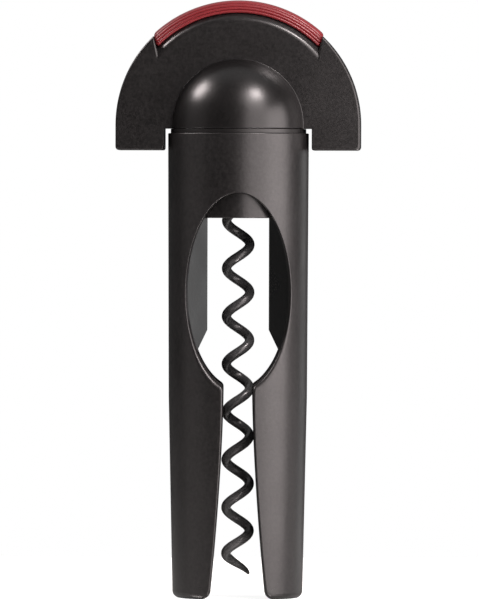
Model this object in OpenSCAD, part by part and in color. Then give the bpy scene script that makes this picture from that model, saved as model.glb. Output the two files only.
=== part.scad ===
// Self-pulling corkscrew: a tube frame with two legs that straddle a bottle's neck, a guide sleeve in its
// top, and a half-disc handle whose spindle turns a helical worm.
// Millimetres, +Z up. The origin is on the worm's axis at the level of the feet, and the front faces -Y.

/* [Tube frame] */
// Height of the tube's shoulder above the feet
frame_h = 131.6; // [124:0.1:142]
// Outside diameter at the shoulder
frame_top_d = 39.9; // [38.6:0.1:43]
// Outside diameter at the waist, where the legs begin
frame_waist_d = 39.2; // [38:0.1:43]
// Outside diameter at the feet
frame_foot_d = 36.8; // [35.6:0.1:40]
// Height of the waist above the feet
frame_waist_h = 57; // [46:0.5:66]
// Bore of the tube, which takes the guide sleeve
frame_bore_d = 34.8; // [32:0.1:35.2]
// Bore at the feet, which passes over a bottle's lip
foot_bore_d = 30.6; // [29:0.1:31.4]
// Rounding of the outer edge of the feet
foot_round = 2.1; // [0.6:0.1:2.4]
// Rounding of the shoulder's outer edge
shoulder_round = 0.3; // [0.2:0.1:1.4]

/* [Window and slot] */
// Width of the oval window
window_w = 27.6; // [22:0.1:29]
// Height of the oval window
window_h = 54.6; // [44:0.1:60]
// Height of the window's centre above the feet
window_z = 86.7; // [82:0.1:92]
// Width of the slot between the legs where it leaves the window
slot_top_w = 8; // [5:0.1:11]
// Width of the slot between the legs at the feet
slot_foot_w = 15.5; // [12:0.1:19]
// Rounding of the legs' lower corners beside the slot
slot_corner_r = 2.4; // [0.5:0.1:4]

/* [Guide sleeve] */
// Height of the guide's underside above the feet
guide_floor_z = 107.6; // [104:0.1:112]
// Thickness of the guide's floor
guide_floor_t = 2.6; // [1.5:0.1:5]
// Outside diameter of the bearing tube in the guide's middle
bearing_d = 16; // [14:0.1:19]
// Wall of the sleeve, and of its skirt at the front edges
sleeve_wall = 2.5; // [1.8:0.1:3]
// Thickness of the ribs between the bearing tube and the wall
sleeve_rib_t = 1.8; // [1:0.1:3]
// Height of the skirt's lower end, which stops the bottle's lip
skirt_end_z = 69.5; // [64:0.1:74]
// How far the skirt's front edges reach past the middle
skirt_front = 2; // [0:0.1:2.4]
// Width of the slot in the rear of the skirt
rear_slot_w = 17.5; // [12:0.1:20]
// Height over which the rear slot flares at its lower end
rear_flare_h = 6.2; // [3:0.1:9]
// How far the rear slot flares to each side
rear_flare = 3; // [1:0.1:4]

/* [Thrust ring] */
// Outside diameter of the thrust ring
ring_d = 38.4; // [34:0.1:38.6]
// Thickness of the thrust ring
ring_h = 1.2; // [0.8:0.1:3]

/* [Handle] */
// Radius of the half-disc handle
handle_r = 34.65; // [32:0.05:42]
// Thickness of the handle's plate
handle_t = 11.5; // [11:0.1:16]
// Radius of the domed hub
hub_r = 19.4; // [18:0.1:20.4]
// Height of the hub's straight base below the dome
hub_base_h = 1.1; // [0.5:0.1:4]
// How far the wings hang below the hub's underside
wing_drop = 6.15; // [3:0.05:10]
// Turn of the handle about the worm's axis, in degrees
handle_turn = -2.5; // [-180:0.5:180]
// Wall of the handle shells
shell_wall = 2.3; // [1.6:0.1:3]
// Thickness of the ribs and bosses between the pockets in the shells
shell_rib_t = 5.6; // [4.6:0.1:8]

/* [Grip] */
// Radius of the grip's round cross-section
grip_r = 4.6; // [3.6:0.1:4.8]
// Height of the grip above its seat in the rim
grip_h = 4; // [2.8:0.05:4.4]
// How far the grip stands out of the rim
grip_proud = 0.65; // [0:0.05:1]
// Half width of the grip's recess at its seat
grip_half_w = 23.5; // [16:0.1:25]
// Slope of the recess's end faces from the vertical, in degrees
grip_end_slope = 11; // [0:1:25]
// Radius of the finger scoops beside the grip
scoop_r = 3; // [2:0.1:5]
// Depth of the finger scoops below the grip's seat, on the plate's faces
scoop_drop = 1.1; // [0.4:0.1:1.6]
// How far the finger scoops run in under the grip's flanks
scoop_reach = 1.1; // [0.3:0.1:1.5]
// Gap between the grip's flanks and the level of its seat
grip_lift = 0.5; // [0.1:0.05:0.7]
// Least height of the grip's smooth crown above the ribs on its flanks
crown_h = 0.7; // [0.5:0.05:1.2]
// Height from one rib to the next
rib_step = 0.87; // [0.6:0.01:1]
// Radius of each rib
rib_r = 0.42; // [0.3:0.02:0.5]
// Thickness of the tongue that the shells clamp
tongue_t = 4; // [2:0.1:5]
// Depth of the tongue below the seat
tongue_h = 2.8; // [1.5:0.1:3.2]

/* [Spindle and worm] */
// Diameter of the spindle's shank
spindle_d = 10; // [9.6:0.1:12]
// Height of the spindle's lower end above the guide's underside
spindle_rise = 9; // [6:0.1:12]
// Width across the flats of the spindle's hexagonal head
head_af = 13; // [12.4:0.1:15]
// Height of the spindle's head
head_h = 7; // [6:0.1:8]
// Thickness of the hub's floor under the spindle's head
hub_floor_t = 4; // [2.5:0.1:5]
// Outside diameter of the worm
worm_d = 9.3; // [7.5:0.1:9.5]
// Diameter of the worm's wire
wire_d = 2.7; // [1.8:0.1:3]
// Rise of the worm in one turn
worm_pitch = 13.55; // [9:0.05:16]
// Height of the worm's point above the feet
worm_tip_z = 6.6; // [3:0.1:30]
// Length of the worm's cranked end, which locks it in the spindle's head
crank_len = 5; // [4:0.1:5.6]

/* [Pegs and clearances] */
// Diameter of the pegs that join the handle shells
peg_d = 3; // [2:0.1:3.4]
// Length of the pegs
peg_len = 8.4; // [5:0.1:8.8]
// Gap between the wings and the tube's shoulder
wing_gap = 1; // [0.3:0.05:2]
// Gap between the hub's underside and the thrust ring
seat_gap = 0.1; // [0.05:0.05:0.5]
// Radial clearance of the spindle in the guide sleeve
spindle_clear = 0.08; // [0.02:0.01:0.1]
// Radial clearance of the thrust ring on the bearing tube
ring_clear = 0.3; // [0.1:0.05:0.6]
// Clearance of pieces that are pressed or clamped together
fit_clear = 0.05; // [0.02:0.01:0.1]
// Gap between the grip's ends and its recess
grip_end_gap = 0.1; // [0.05:0.05:0.5]

/* [Hidden] */
$fn = 96;

// Reach of a cut past the faces that it goes through
past = 1;
outline_steps = 120;
slot_steps = 40;
round_steps = 8;
// Power of the slot's widening towards the feet: 1 is straight
slot_curve = 1.6;
sleeve_ribs = 6;

// Tube frame
frame_top_r = frame_top_d / 2;
frame_waist_r = frame_waist_d / 2;
frame_foot_r = frame_foot_d / 2;
frame_bore_r = frame_bore_d / 2;
foot_bore_r = foot_bore_d / 2;
window_low_z = window_z - window_h / 2;
// Top of the slot, inside the window where the window is already wider than the slot
slot_head_z = window_low_z + slot_top_w / 2;

// Guide sleeve
sleeve_r = frame_bore_r - fit_clear;
skirt_bore_r = sleeve_r - sleeve_wall;
guide_bore_r = spindle_d / 2 + spindle_clear;
bearing_r = bearing_d / 2;
bearing_top_z = frame_h + ring_h * 0.75;

// Heights up the handle
hub_low_z = frame_h + ring_h + seat_gap;
hub_z = hub_low_z + hub_base_h;
wing_low = hub_base_h + wing_drop;
notch_half = frame_top_r + wing_gap;

// Grip, measured from the handle's centre
grip_top_r = handle_r + grip_proud;
seat_r = grip_top_r - grip_h;
flank_low_r = seat_r + grip_lift;
ribs_each_side = floor((grip_h - grip_lift - crown_h) / rib_step);
crown_low_r = flank_low_r + ribs_each_side * rib_step;
grip_centre_r = grip_top_r - grip_r;
grip_foot_half = grip_r - scoop_reach;
tongue_low_r = seat_r - tongue_h;

// Spindle and worm
head_low_z = hub_low_z + hub_floor_t;
head_top_z = head_low_z + head_h;
head_corner_r = head_af / 2 / cos(30);
spindle_low_z = guide_floor_z + spindle_rise;
wire_r = wire_d / 2;
coil_r = worm_d / 2 - wire_r;
bend_r = wire_d;
crank_z = head_top_z - wire_r;
hub_boss_r = head_corner_r + shell_wall;

// Pockets that lighten the shells, and the pegs on the ribs between them
pocket_low_r = hub_r + shell_wall;
pocket_high_r = tongue_low_r - shell_wall;
pocket_rim_r = handle_r - shell_wall;
peg_ring_r = (pocket_low_r + pocket_high_r) / 2;
peg_wing_x = (notch_half + handle_r) / 2;
peg_wing_z = -wing_low + shell_wall + peg_d / 2;
peg_side_angle = 57;
peg_places = [
    [0, peg_ring_r],
    [peg_ring_r * sin(peg_side_angle), peg_ring_r * cos(peg_side_angle)],
    [-peg_ring_r * sin(peg_side_angle), peg_ring_r * cos(peg_side_angle)],
    [peg_wing_x, peg_wing_z],
    [-peg_wing_x, peg_wing_z]
];
// Half the angle that a rib takes up at the peg ring
rib_half_angle = atan(shell_rib_t / 2 / peg_ring_r);
wing_pocket_angle = 84;

// Points of a quarter round from an angle to another
function arc(centre, r, from, to) = [
    for (i = [0 : round_steps])
        let (a = from + (to - from) * i / round_steps)
        centre + r * [cos(a), sin(a)]
];

// Half width of the slot between the legs at a height, with the legs' rounded lower corners
function slot_corner(z) = z >= slot_corner_r ? 0
    : slot_corner_r - sqrt(pow(slot_corner_r, 2) - pow(slot_corner_r - max(z, 0), 2));
function slot_half(z) =
    let (down = max(0, min(1, (window_low_z - z) / window_low_z)))
    slot_top_w / 2 + (slot_foot_w - slot_top_w) / 2 * pow(down, slot_curve) + slot_corner(z);

slot_side = concat(
    [[slot_half(0), -past]],
    [for (i = [0 : round_steps])
        let (z = slot_corner_r * (1 - cos(90 * i / round_steps))) [slot_half(z), z]],
    [for (i = [1 : slot_steps])
        let (z = slot_corner_r + (slot_head_z - slot_corner_r) * i / slot_steps) [slot_half(z), z]]
);

// Extrudes an outline drawn in X and Z along the whole depth of the object
module through(depth) {
    rotate([90, 0, 0])
        linear_extrude(depth, center = true)
            children();
}

module window_outline() {
    translate([0, window_z])
        polygon([
            for (i = [0 : outline_steps - 1])
                let (a = 360 * i / outline_steps)
                [window_w / 2 * cos(a), window_h / 2 * sin(a)]
        ]);
}

module slot_outline() {
    polygon(concat(
        slot_side,
        [for (i = [len(slot_side) - 1 : -1 : 0]) [-slot_side[i][0], slot_side[i][1]]]
    ));
}

module tube_frame() {
    color("#2b2a2a")
        difference() {
            rotate_extrude()
                polygon(concat(
                    [[foot_bore_r, 0]],
                    arc([frame_foot_r - foot_round, foot_round], foot_round, -90, 0),
                    [[frame_waist_r, frame_waist_h]],
                    arc([frame_top_r - shoulder_round, frame_h - shoulder_round], shoulder_round, 0, 90),
                    [[frame_bore_r, frame_h], [frame_bore_r, skirt_end_z]]
                ));
            through(2 * frame_top_d)
                union() {
                    window_outline();
                    slot_outline();
                }
        }
}

module rear_slot_outline() {
    half = rear_slot_w / 2;
    polygon([
        [-half, guide_floor_z], [half, guide_floor_z],
        [half, skirt_end_z + rear_flare_h], [half + rear_flare, skirt_end_z],
        [half + rear_flare, skirt_end_z - past], [-half - rear_flare, skirt_end_z - past],
        [-half - rear_flare, skirt_end_z], [-half, skirt_end_z + rear_flare_h]
    ]);
}

// Bore of the skirt, between flat walls that draw in from its front edges to the rear slot
module skirt_bore() {
    front = [sqrt(pow(skirt_bore_r, 2) - pow(skirt_front, 2)), -skirt_front];
    rear = [rear_slot_w / 2, sqrt(pow(skirt_bore_r, 2) - pow(rear_slot_w / 2, 2))];
    polygon([
        front, rear, [rear[0], frame_top_r],
        [-rear[0], frame_top_r], [-rear[0], rear[1]], [-front[0], front[1]],
        [-front[0], -frame_top_r], [front[0], -frame_top_r]
    ]);
}

module guide_sleeve() {
    core_h = frame_h - guide_floor_z;
    color("#262525")
        difference() {
            union() {
                // Plug with its pockets, open at the top under the thrust ring
                translate([0, 0, guide_floor_z])
                    difference() {
                        cylinder(r = sleeve_r, h = core_h);
                        translate([0, 0, guide_floor_t])
                            difference() {
                                cylinder(r = skirt_bore_r, h = core_h);
                                cylinder(r = bearing_r, h = core_h);
                                for (i = [0 : sleeve_ribs - 1])
                                    rotate(360 * i / sleeve_ribs)
                                        translate([0, -sleeve_rib_t / 2, 0])
                                            cube([sleeve_r, sleeve_rib_t, core_h]);
                            }
                    }
                translate([0, 0, guide_floor_z])
                    cylinder(r = bearing_r, h = bearing_top_z - guide_floor_z);
                // Skirt round the back and sides of the cork's chamber
                difference() {
                    translate([0, 0, skirt_end_z])
                        cylinder(r = sleeve_r, h = guide_floor_z - skirt_end_z);
                    translate([0, 0, skirt_end_z - past])
                        linear_extrude(guide_floor_z - skirt_end_z + past)
                            skirt_bore();
                    translate([-frame_top_r, -frame_top_d - skirt_front, skirt_end_z - past])
                        cube([frame_top_d, frame_top_d, guide_floor_z - skirt_end_z + past]);
                    translate([0, frame_top_r, 0])
                        through(frame_top_d)
                            rear_slot_outline();
                }
            }
            translate([0, 0, guide_floor_z - past])
                cylinder(r = guide_bore_r, h = bearing_top_z - guide_floor_z + 2 * past);
        }
}

module thrust_ring() {
    color("#1d1c1c")
        translate([0, 0, frame_h])
            difference() {
                cylinder(d = ring_d, h = ring_h);
                translate([0, 0, -past])
                    cylinder(r = bearing_r + ring_clear, h = ring_h + 2 * past);
            }
}

// Places children at the handle's centre, turned with the handle
module at_handle() {
    translate([0, 0, hub_z])
        rotate(handle_turn)
            children();
}

// Region between the end faces of the grip's recess, drawn from the handle's centre
module grip_span(inset) {
    half = grip_half_w - inset / cos(grip_end_slope);
    rise = grip_top_r;
    lean = tan(grip_end_slope);
    seat_z = sqrt(pow(seat_r, 2) - pow(grip_half_w, 2));
    through(2 * handle_t)
        polygon([
            [-half - (rise - seat_z) * lean - past * lean, rise + past],
            [half + (rise - seat_z) * lean + past * lean, rise + past],
            [half - seat_z * lean, 0],
            [-half + seat_z * lean, 0]
        ]);
}

// Turns a profile of radius and depth round the plate's own axis
module round_plate() {
    rotate([90, 0, 0])
        rotate_extrude()
            children();
}

module grip_recess() {
    face = handle_t / 2;
    // Centre of the scoop's arc, through its two edges
    edge = [seat_r - scoop_drop, face];
    foot = [seat_r, grip_foot_half];
    chord = foot - edge;
    mid = (edge + foot) / 2;
    normal = [-chord[1], chord[0]] / norm(chord);
    centre = mid + normal * sqrt(pow(scoop_r, 2) - pow(norm(chord) / 2, 2));
    intersection() {
        round_plate()
            union() {
                translate([seat_r, -face - past])
                    square([handle_r - seat_r + past, handle_t + 2 * past]);
                translate([tongue_low_r - fit_clear, -tongue_t / 2 - fit_clear])
                    square([tongue_h + 2 * fit_clear, tongue_t + 2 * fit_clear]);
                for (side = [-1, 1])
                    translate([centre[0], side * centre[1]])
                        circle(r = scoop_r);
            }
        grip_span(0);
    }
}

module handle_outline() {
    difference() {
        union() {
            intersection() {
                circle(r = handle_r);
                translate([-handle_r - past, 0])
                    square([2 * (handle_r + past), handle_r + past]);
            }
            translate([-handle_r, -wing_low])
                square([2 * handle_r, wing_low]);
        }
        translate([-notch_half, -wing_low - past])
            square([2 * notch_half, wing_drop + past]);
    }
}

module hub() {
    rotate_extrude()
        union() {
            intersection() {
                circle(r = hub_r);
                square(hub_r);
            }
            translate([0, -hub_base_h])
                square([hub_r, hub_base_h]);
        }
}

// One pocket between two angles from the top and two radii
module pocket(from, to, low_r, high_r) {
    reach = 2 * handle_r;
    through(handle_t - 2 * shell_wall)
        intersection() {
            difference() {
                circle(r = high_r);
                circle(r = low_r);
            }
            polygon([[0, 0], reach * [sin(from), cos(from)], reach * [sin(to), cos(to)]]);
        }
}

module shell_hollows() {
    hollow_r = hub_r - shell_wall;
    // Room under the dome, round the boss that holds the spindle
    difference() {
        intersection() {
            sphere(r = hollow_r);
            translate([-hub_r, -hub_r, hub_floor_t - hub_base_h])
                cube([2 * hub_r, 2 * hub_r, hub_r]);
        }
        cylinder(r = hub_boss_r, h = hub_r);
    }
    // Shank, head and cranked end of the spindle and worm
    translate([0, 0, hub_low_z - hub_z - past])
        cylinder(r = spindle_d / 2 + fit_clear, h = hub_floor_t + 2 * past);
    translate([0, 0, head_low_z - hub_z - fit_clear])
        cylinder(r = head_corner_r + fit_clear / cos(30), h = head_h + 2 * fit_clear, $fn = 6);
    for (side = [-1, 1]) {
        pocket(side * rib_half_angle, side * (peg_side_angle - rib_half_angle),
               pocket_low_r, pocket_high_r);
        pocket(side * (peg_side_angle + rib_half_angle), side * wing_pocket_angle,
               pocket_low_r, pocket_rim_r);
    }
    for (place = peg_places)
        translate([place[0], 0, place[1]])
            rotate([90, 0, 0])
                cylinder(d = peg_d + 2 * fit_clear, h = peg_len + 2 * fit_clear, center = true);
}

// Half of the handle on one side of the plate's middle plane
module handle_shell(side) {
    at_handle()
        intersection() {
            difference() {
                union() {
                    through(handle_t)
                        handle_outline();
                    hub();
                }
                shell_hollows();
                grip_recess();
            }
            translate([-2 * handle_r, side > 0 ? 0 : -2 * hub_r, -2 * wing_low])
                cube([4 * handle_r, 2 * hub_r, 2 * handle_r]);
        }
}

module handle_front_shell() {
    color("#333130")
        handle_shell(-1);
}

module handle_rear_shell() {
    color("#333130")
        handle_shell(1);
}

// Part of the grip's round section from a radius about the handle's centre outwards
module grip_cap(r, low_r) {
    intersection() {
        translate([grip_centre_r, 0])
            circle(r = r);
        translate([low_r, -grip_r])
            square([grip_r, 2 * grip_r]);
    }
}

// Smooth crown over flanks with ribs at even heights, on a foot and a tongue
module grip_section() {
    grip_cap(grip_r, crown_low_r);
    grip_cap(grip_r - rib_r, flank_low_r);
    for (side = [-1, 1], i = [0 : ribs_each_side - 1])
        let (a = acos((flank_low_r + (i + 0.5) * rib_step - grip_centre_r) / grip_r))
        translate([grip_centre_r, 0])
            rotate(side * a)
                translate([grip_r - rib_r, 0])
                    circle(r = rib_r, $fn = 24);
    translate([seat_r, -grip_foot_half])
        square([2 * grip_lift, 2 * grip_foot_half]);
    translate([tongue_low_r, -tongue_t / 2])
        square([tongue_h + grip_lift, tongue_t]);
}

module grip_insert() {
    color("#a83237")
        at_handle()
            intersection() {
                round_plate()
                    grip_section();
                grip_span(grip_end_gap);
            }
}

module spindle() {
    color("#8f9092")
        rotate(handle_turn)
            difference() {
                union() {
                    translate([0, 0, spindle_low_z])
                        cylinder(d = spindle_d, h = head_low_z - spindle_low_z);
                    translate([0, 0, head_low_z])
                        cylinder(r = head_corner_r, h = head_h, $fn = 6);
                }
                translate([0, 0, spindle_low_z - past])
                    cylinder(r = wire_r + fit_clear, h = head_top_z - spindle_low_z + 2 * past);
                // Slot for the worm's cranked end
                translate([-wire_r - fit_clear, -wire_r - fit_clear, crank_z - bend_r - wire_r])
                    cube([head_af, wire_d + 2 * fit_clear, bend_r + wire_d + past]);
            }
}

// Worm: one wire from its point up the helix, in to the axis, up through the spindle and into the crank
rings_per_turn = 18;
wire_sides = 8;
// Turn of the worm where it leaves the guide, in degrees
worm_phase = 200;
// Turns over which the wire is ground to a point, and the share of its radius left at the tip
point_turns = 0.42;
point_share = 0.12;
bend_rings = 6;
drawn_in_from_z = guide_floor_z + wire_d / 2;
drawn_in_to_z = spindle_low_z - wire_d / 2;
ring_rise = worm_pitch / rings_per_turn;
coil_rings = floor((drawn_in_to_z - worm_tip_z) / ring_rise);

function smooth(t) = t <= 0 ? 0 : t >= 1 ? 1 : t * t * (3 - 2 * t);
function turn_at(z) = worm_phase + 360 * (z - guide_floor_z) / worm_pitch;
function radius_at(z) = coil_r * smooth((drawn_in_to_z - z) / (drawn_in_to_z - drawn_in_from_z));
function coil_at(z) = [radius_at(z) * cos(turn_at(z)), radius_at(z) * sin(turn_at(z)), z];
function wire_at(z) = wire_r * min(1, point_share + (z - worm_tip_z) / (point_turns * worm_pitch));

coil_points = [for (i = [0 : coil_rings]) coil_at(worm_tip_z + i * ring_rise)];
coil_wires = [for (i = [0 : coil_rings]) wire_at(worm_tip_z + i * ring_rise)];
bend_points = [
    for (i = [0 : bend_rings])
        let (a = 90 * i / bend_rings)
        let (out = bend_r * (1 - cos(a)))
        [out * cos(handle_turn), out * sin(handle_turn), crank_z - bend_r + bend_r * sin(a)]
];
tail_points = concat(
    [[0, 0, drawn_in_to_z + ring_rise], [0, 0, spindle_low_z + wire_d]],
    bend_points,
    [[crank_len * cos(handle_turn), crank_len * sin(handle_turn), crank_z]]
);
wire_points = concat(coil_points, tail_points);
wire_radii = concat(coil_wires, [for (p = tail_points) wire_r]);

function unit(v) = v / norm(v);
function heading(i) = unit(wire_points[min(i + 1, len(wire_points) - 1)] - wire_points[max(i - 1, 0)]);
// Side direction that follows the wire without twisting round it
side_start = unit(cross(heading(0), [0, 0, 1]));
function carry(side, i) = let (t = heading(i)) unit(side - (side * t) * t);
sides = [
    for (i = 0, s = side_start;
         i < len(wire_points);
         i = i + 1, s = i < len(wire_points) ? carry(s, i) : s) s
];
wire_rings = [
    for (i = [0 : len(wire_points) - 1])
        let (s = sides[i], b = cross(heading(i), s))
        for (j = [0 : wire_sides - 1])
            let (a = 360 * j / wire_sides)
            wire_points[i] + wire_radii[i] * (cos(a) * s + sin(a) * b)
];
wire_last = (len(wire_points) - 1) * wire_sides;
wire_faces = concat(
    [for (i = [0 : len(wire_points) - 2], j = [0 : wire_sides - 1])
        let (k = (j + 1) % wire_sides, low = i * wire_sides, high = low + wire_sides)
        each [[low + j, high + j, low + k], [low + k, high + j, high + k]]],
    [for (j = [1 : wire_sides - 2]) [0, j, j + 1]],
    [for (j = [1 : wire_sides - 2]) [wire_last, wire_last + j + 1, wire_last + j]]
);

// Least gap between neighbouring turns of the worm
turn_gaps = [
    for (i = [0 : coil_rings - rings_per_turn])
        for (j = [i + rings_per_turn / 2 : min(coil_rings, i + 2 * rings_per_turn)])
            norm(coil_points[i] - coil_points[j]) - wire_d
];
echo(least_gap_between_turns = min(turn_gaps));

module worm() {
    color("#3a3837")
        polyhedron(wire_rings, wire_faces);
}

module shell_pegs() {
    color("#c9c6bd")
        at_handle()
            for (place = peg_places)
                translate([place[0], 0, place[1]])
                    rotate([90, 0, 0])
                        cylinder(d = peg_d, h = peg_len, center = true);
}

tube_frame();
guide_sleeve();
thrust_ring();
handle_front_shell();
handle_rear_shell();
grip_insert();
spindle();
worm();
shell_pegs();
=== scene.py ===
import math

import bpy
from mathutils import Matrix, Vector


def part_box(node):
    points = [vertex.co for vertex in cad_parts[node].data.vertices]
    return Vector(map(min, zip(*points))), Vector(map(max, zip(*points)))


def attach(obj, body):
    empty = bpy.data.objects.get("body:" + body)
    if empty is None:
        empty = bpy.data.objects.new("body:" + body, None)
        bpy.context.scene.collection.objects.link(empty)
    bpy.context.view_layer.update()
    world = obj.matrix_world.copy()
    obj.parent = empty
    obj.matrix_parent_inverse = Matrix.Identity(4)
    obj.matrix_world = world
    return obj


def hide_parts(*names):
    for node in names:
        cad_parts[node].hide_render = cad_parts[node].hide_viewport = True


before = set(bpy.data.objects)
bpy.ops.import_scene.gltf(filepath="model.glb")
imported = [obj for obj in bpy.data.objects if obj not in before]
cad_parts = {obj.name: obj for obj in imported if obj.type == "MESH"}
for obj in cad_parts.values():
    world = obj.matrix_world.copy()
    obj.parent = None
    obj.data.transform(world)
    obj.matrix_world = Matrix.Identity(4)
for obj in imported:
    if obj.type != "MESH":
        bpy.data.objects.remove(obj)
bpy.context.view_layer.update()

mm = 0.001
near = 0.01      # in mm: places closer than this count as the same
seamGap = 0.002  # in mm: points closer than this are merged
scene = bpy.context.scene
scene.view_settings.view_transform = "Standard"
print("frame loaded with", len(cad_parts), "CAD nodes")


# Small helpers

def boxMm(node):
    low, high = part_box(node)
    return low / mm, high / mm


def deselectAll():
    bpy.ops.object.select_all(action="DESELECT")


def activate(piece):
    deselectAll()
    piece.select_set(True)
    bpy.context.view_layer.objects.active = piece


def mix(a, b, share):
    return a + (b - a) * share


def stops(table, x):  # straight lines between a few stops
    for (x0, y0), (x1, y1) in zip(table, table[1:]):
        if x <= x1:
            return mix(y0, y1, (x - x0) / (x1 - x0))
    return table[-1][1]


def bend(start, corner, end, t):  # a curve that leaves its start towards the corner and turns to its end
    return start * (1 - t) ** 2 + corner * 2 * t * (1 - t) + end * t ** 2


def gridSheet(name, rows, columns, place):  # a grid whose points are set by a rule of row and column
    deselectAll()
    bpy.ops.mesh.primitive_grid_add(x_subdivisions=columns, y_subdivisions=rows, size=2)
    sheet = bpy.context.active_object
    sheet.name = name
    for vertex in sheet.data.vertices:
        column = round((vertex.co.x + 1) / 2 * columns)
        row = round((vertex.co.y + 1) / 2 * rows)
        vertex.co = Vector(place(row, column)) * mm
    return sheet


def flatFace(name, points):  # one flat face with any outline
    deselectAll()
    bpy.ops.mesh.primitive_circle_add(vertices=len(points), radius=1, fill_type="NGON")
    face = bpy.context.active_object
    face.name = name
    for vertex, point in zip(face.data.vertices, points):
        vertex.co = Vector(point) * mm
    return face


def joinUp(pieces, name):  # one mesh with shared seams and its faces outwards
    activate(pieces[0])
    for piece in pieces:
        piece.select_set(True)
    if len(pieces) > 1:
        bpy.ops.object.join()
    piece = bpy.context.active_object
    piece.name = name
    bpy.ops.object.mode_set(mode="EDIT")
    bpy.ops.mesh.select_all(action="SELECT")
    bpy.ops.mesh.remove_doubles(threshold=seamGap * mm)
    bpy.ops.mesh.normals_make_consistent(inside=False)
    bpy.ops.object.mode_set(mode="OBJECT")
    return piece


def applyModifier(piece, kind, **settings):
    activate(piece)
    modifier = piece.modifiers.new(kind.title(), kind)
    for key, value in settings.items():
        setattr(modifier, key, value)
    bpy.ops.object.modifier_apply(modifier=modifier.name)


def bevelBy(piece, widthOf, segments):  # rounds each edge by the width in mm that a rule gives it
    mesh = piece.data
    points = [v.co / mm for v in mesh.vertices]
    widths = [widthOf(points[e.vertices[0]], points[e.vertices[1]], e.index) for e in mesh.edges]
    widest = max(widths)
    weights = mesh.attributes.new("bevel_weight_edge", "FLOAT", "EDGE")
    for edge, width in zip(mesh.edges, widths):
        weights.data[edge.index].value = width / widest
    applyModifier(piece, "BEVEL", width=widest * mm, segments=segments, limit_method="WEIGHT",
                  use_clamp_overlap=False, miter_outer="MITER_ARC")
    mesh.attributes.remove(mesh.attributes["bevel_weight_edge"])


def smoothFaces(piece, angle=40):  # smooth shading that leaves flat faces flat
    activate(piece)
    bpy.ops.object.shade_smooth_by_angle(angle=math.radians(angle))
    applyModifier(piece, "WEIGHTED_NORMAL", keep_sharp=True, weight=60)


def roundCorners(points, steps=4):  # an outline of (r, z, rounding) with its corners made round
    rounded = []
    for k, (r, z, size) in enumerate(points):
        corner = Vector((r, z))
        before = Vector(points[k - 1][:2]) - corner
        after = Vector(points[(k + 1) % len(points)][:2]) - corner
        if size == 0:
            rounded.append(corner)
            continue
        start = corner + before.normalized() * size
        end = corner + after.normalized() * size
        rounded += [bend(start, corner, end, i / steps) for i in range(steps + 1)]
    return rounded


def spunPiece(name, outline, steps=128):  # a closed outline of radius and height, spun about the axis
    deselectAll()
    bpy.ops.mesh.primitive_circle_add(vertices=len(outline), radius=1, fill_type="NOTHING")
    piece = bpy.context.active_object
    for vertex, point in zip(piece.data.vertices, outline):
        vertex.co = Vector((point[0], 0, point[1])) * mm
    bpy.ops.object.mode_set(mode="EDIT")
    bpy.ops.mesh.select_all(action="SELECT")
    bpy.ops.mesh.spin(steps=steps, angle=2 * math.pi, center=(0, 0, 0), axis=(0, 0, 1))
    bpy.ops.object.mode_set(mode="OBJECT")
    return joinUp([piece], name)


def finishPiece(piece, body, material, node):
    piece.data.materials.append(material)
    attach(piece, body)
    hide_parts(node)
    print(piece.name, "has", len(piece.data.polygons), "faces")


# Camera, far off and nearly level, as the photograph was taken

viewpoint = {
    "distance": 2500, "height": 112, "aimX": 0.4, "aimZ": 84.5,
    "tallMm": 169.8,           # height of the whole picture, measured at the part
    "sensor": 36, "clipEnd": 20000,
    "roll": 0.15,              # the photograph leans by this many degrees
}


def setCamera():
    v = viewpoint
    place = Vector((v["aimX"], -v["distance"], v["height"])) * mm
    aim = Vector((v["aimX"], 0, v["aimZ"])) * mm
    deselectAll()
    bpy.ops.object.camera_add(location=place)
    camera = bpy.context.active_object
    camera.name = "photoCamera"
    camera.data.sensor_width = v["sensor"]
    camera.data.lens = v["distance"] * v["sensor"] / v["tallMm"]
    camera.data.clip_end = v["clipEnd"] * mm
    lean = Matrix.Rotation(math.radians(v["roll"]), 3, "Z").to_quaternion()
    turn = (aim - place).to_track_quat("-Z", "Y") @ lean
    camera.rotation_euler = turn.to_euler()
    scene.camera = camera


setCamera()
print("camera set")


# Materials

noiseLow, noiseHigh = 0.3, 0.7  # nearly all values of a noise lie between these


def linear(hexColour):  # sRGB hex to the linear colour that a socket takes
    parts = [int(hexColour[i:i + 2], 16) / 255 for i in (1, 3, 5)]
    return tuple(p / 12.92 if p <= 0.04045 else ((p + 0.055) / 1.055) ** 2.4 for p in parts) + (1,)


def addNode(tree, kind, inputs=(), **settings):  # one node with its settings, values and links
    node = tree.nodes.new(kind)
    for key, value in settings.items():
        setattr(node, key, value)
    for socket, value in inputs:
        if isinstance(value, bpy.types.NodeSocket):
            tree.links.new(value, node.inputs[socket])
        else:
            node.inputs[socket].default_value = value
    return node


def newMaterial(name):
    material = bpy.data.materials.new(name)
    material.use_nodes = True
    material.node_tree.nodes.clear()
    return material, material.node_tree


def perMm(size):  # texture scale, in metres, for a pattern of that size in mm
    return 1 / (size * mm)


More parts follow.
